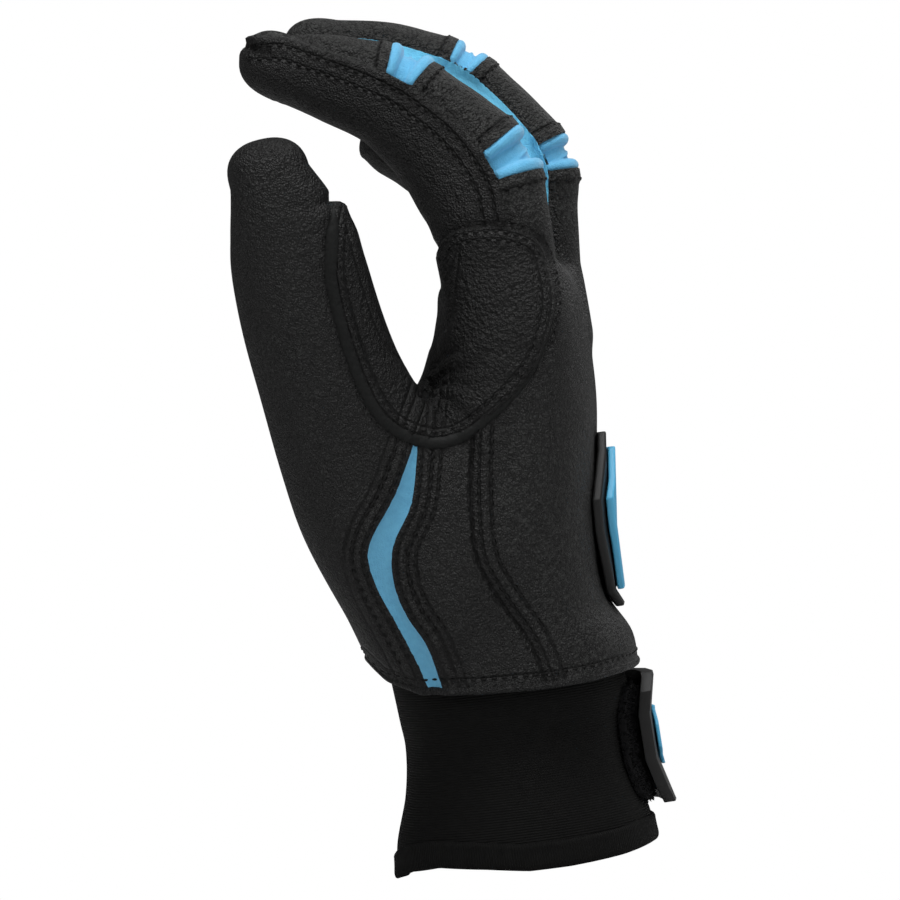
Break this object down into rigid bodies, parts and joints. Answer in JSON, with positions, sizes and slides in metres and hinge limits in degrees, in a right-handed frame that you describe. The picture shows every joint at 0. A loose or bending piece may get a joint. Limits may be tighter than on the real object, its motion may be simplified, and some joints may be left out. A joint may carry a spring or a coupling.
{
  "type": "batting glove",
  "caption": "Right-hand batting glove, fingers curled for a bat, with stretch flex inserts and side strips, a padded crotch patch, elastic cuff and peel-open wrist strap.",
  "frame": {"origin": "on the floor, at the centre of the cuff's open end", "axes": "+Z from cuff to fingertips, +X out of the back of the hand, -Y towards the thumb and index side"},
  "size_m": [0.0792, 0.1034, 0.1903],
  "materials": {
    "leather": "fine-grained, satin",
    "knit": "ribbed elastic knit, matte",
    "pile": "hook and loop pile",
    "moulding": "moulded, satin",
    "stretch": "stretch fabric, soft sheen",
    "moulded_colour": "moulded, satin"
  },
  "bodies": {
    "hand": {"back_panel": "leather", "thumb_stripe": "stretch", "side_panel": "leather", "palm_panel": "leather", "wrist_welt": "leather", "crotch_patch": "leather", "cuff": "knit", "cuff_hem": "knit", "loop_patch": "pile", "strap_anchor": "moulding", "back_guard": "moulding", "back_guard_inlay": "moulded_colour"},
    "strap": {"strap": "moulding", "strap_hook_pad": "pile", "strap_inlay": "moulded_colour"},
    "thumb_proximal": {"thumb_proximal": "leather"},
    "thumb_distal": {"thumb_distal": "leather"},
    "index_proximal": {"index_proximal": "leather", "index_proximal_far_strip": "stretch", "index_lower_flex": "stretch"},
    "index_middle": {"index_middle": "leather", "index_middle_far_strip": "stretch", "index_upper_flex": "stretch"},
    "index_distal": {"index_distal": "leather", "index_distal_far_strip": "stretch"},
    "middle_proximal": {"middle_proximal": "leather", "middle_proximal_near_strip": "stretch", "middle_proximal_far_strip": "stretch", "middle_lower_flex": "stretch"},
    "middle_middle": {"middle_middle": "leather", "middle_middle_near_strip": "stretch", "middle_middle_far_strip": "stretch", "middle_upper_flex": "stretch"},
    "middle_distal": {"middle_distal": "leather", "middle_distal_near_strip": "stretch", "middle_distal_far_strip": "stretch"},
    "ring_proximal": {"ring_proximal": "leather", "ring_proximal_near_strip": "stretch", "ring_proximal_far_strip": "stretch", "ring_lower_flex": "stretch"},
    "ring_middle": {"ring_middle": "leather", "ring_middle_near_strip": "stretch", "ring_middle_far_strip": "stretch", "ring_upper_flex": "stretch"},
    "ring_distal": {"ring_distal": "leather", "ring_distal_near_strip": "stretch", "ring_distal_far_strip": "stretch"},
    "little_proximal": {"little_proximal": "leather", "little_proximal_near_strip": "stretch", "little_lower_flex": "stretch"},
    "little_middle": {"little_middle": "leather", "little_middle_near_strip": "stretch", "little_upper_flex": "stretch"},
    "little_distal": {"little_distal": "leather", "little_distal_near_strip": "stretch"}
  },
  "joints": [
    {"name": "index_knuckle", "type": "hinge", "parent": "hand", "child": "index_proximal", "pos_m": [0.0136, -0.0317, 0.138], "axis": [0, -1, 0], "range_deg": [-15, 8], "stiffness_Nm_per_rad": 0.05},
    {"name": "index_lower_flex", "type": "hinge", "parent": "index_proximal", "child": "index_middle", "pos_m": [0.0013, -0.0317, 0.1454], "axis": [0, -1, 0], "range_deg": [-20, 8], "stiffness_Nm_per_rad": 0.05, "deforming": ["index_lower_flex"]},
    {"name": "index_upper_flex", "type": "hinge", "parent": "index_middle", "child": "index_distal", "pos_m": [-0.00825, -0.0317, 0.16196], "axis": [0, -1, 0], "range_deg": [-26, 20], "stiffness_Nm_per_rad": 0.05, "deforming": ["index_upper_flex"]},
    {"name": "middle_knuckle", "type": "hinge", "parent": "hand", "child": "middle_proximal", "pos_m": [0.0202, -0.0095, 0.1388], "axis": [0, -1, 0], "range_deg": [-15, 15], "stiffness_Nm_per_rad": 0.05},
    {"name": "middle_lower_flex", "type": "hinge", "parent": "middle_proximal", "child": "middle_middle", "pos_m": [0.01009, -0.0095, 0.14864], "axis": [0, -1, 0], "range_deg": [-20, 34], "stiffness_Nm_per_rad": 0.05, "deforming": ["middle_lower_flex"]},
    {"name": "middle_upper_flex", "type": "hinge", "parent": "middle_middle", "child": "middle_distal", "pos_m": [0.003, -0.0095, 0.16407], "axis": [0, -1, 0], "range_deg": [-26, 30], "stiffness_Nm_per_rad": 0.05, "deforming": ["middle_upper_flex"]},
    {"name": "ring_knuckle", "type": "hinge", "parent": "hand", "child": "ring_proximal", "pos_m": [0.0154, 0.0125, 0.137], "axis": [0, -1, 0], "range_deg": [-15, 15], "stiffness_Nm_per_rad": 0.05},
    {"name": "ring_lower_flex", "type": "hinge", "parent": "ring_proximal", "child": "ring_middle", "pos_m": [0.00395, 0.0125, 0.14709], "axis": [0, -1, 0], "range_deg": [-20, 34], "stiffness_Nm_per_rad": 0.05, "deforming": ["ring_lower_flex"]},
    {"name": "ring_upper_flex", "type": "hinge", "parent": "ring_middle", "child": "ring_distal", "pos_m": [-0.00898, 0.0125, 0.1667], "axis": [0, -1, 0], "range_deg": [-26, 30], "stiffness_Nm_per_rad": 0.05, "deforming": ["ring_upper_flex"]},
    {"name": "little_knuckle", "type": "hinge", "parent": "hand", "child": "little_proximal", "pos_m": [0.0168, 0.0331, 0.131], "axis": [0, -1, 0], "range_deg": [-15, 15], "stiffness_Nm_per_rad": 0.05},
    {"name": "little_lower_flex", "type": "hinge", "parent": "little_proximal", "child": "little_middle", "pos_m": [0.00643, 0.0331, 0.14091], "axis": [0, -1, 0], "range_deg": [-20, 34], "stiffness_Nm_per_rad": 0.05, "deforming": ["little_lower_flex"]},
    {"name": "little_upper_flex", "type": "hinge", "parent": "little_middle", "child": "little_distal", "pos_m": [-0.00227, 0.0331, 0.1558], "axis": [0, -1, 0], "range_deg": [-26, 30], "stiffness_Nm_per_rad": 0.05, "deforming": ["little_upper_flex"]},
    {"name": "thumb_base", "type": "hinge", "parent": "hand", "child": "thumb_proximal", "pos_m": [-0.02598, -0.037, 0.11174], "axis": [0, -1, 0], "range_deg": [-15, 15], "stiffness_Nm_per_rad": 0.05},
    {"name": "thumb_tip", "type": "hinge", "parent": "thumb_proximal", "child": "thumb_distal", "pos_m": [-0.0286, -0.0455, 0.13819], "axis": [0, -1, 0], "range_deg": [-21, 11], "stiffness_Nm_per_rad": 0.05},
    {"name": "strap_peel", "type": "hinge", "parent": "hand", "child": "strap", "pos_m": [0.022, 0.027, 0.0224], "axis": [0, 0, 1], "range_deg": [0, 100]}
  ]
}
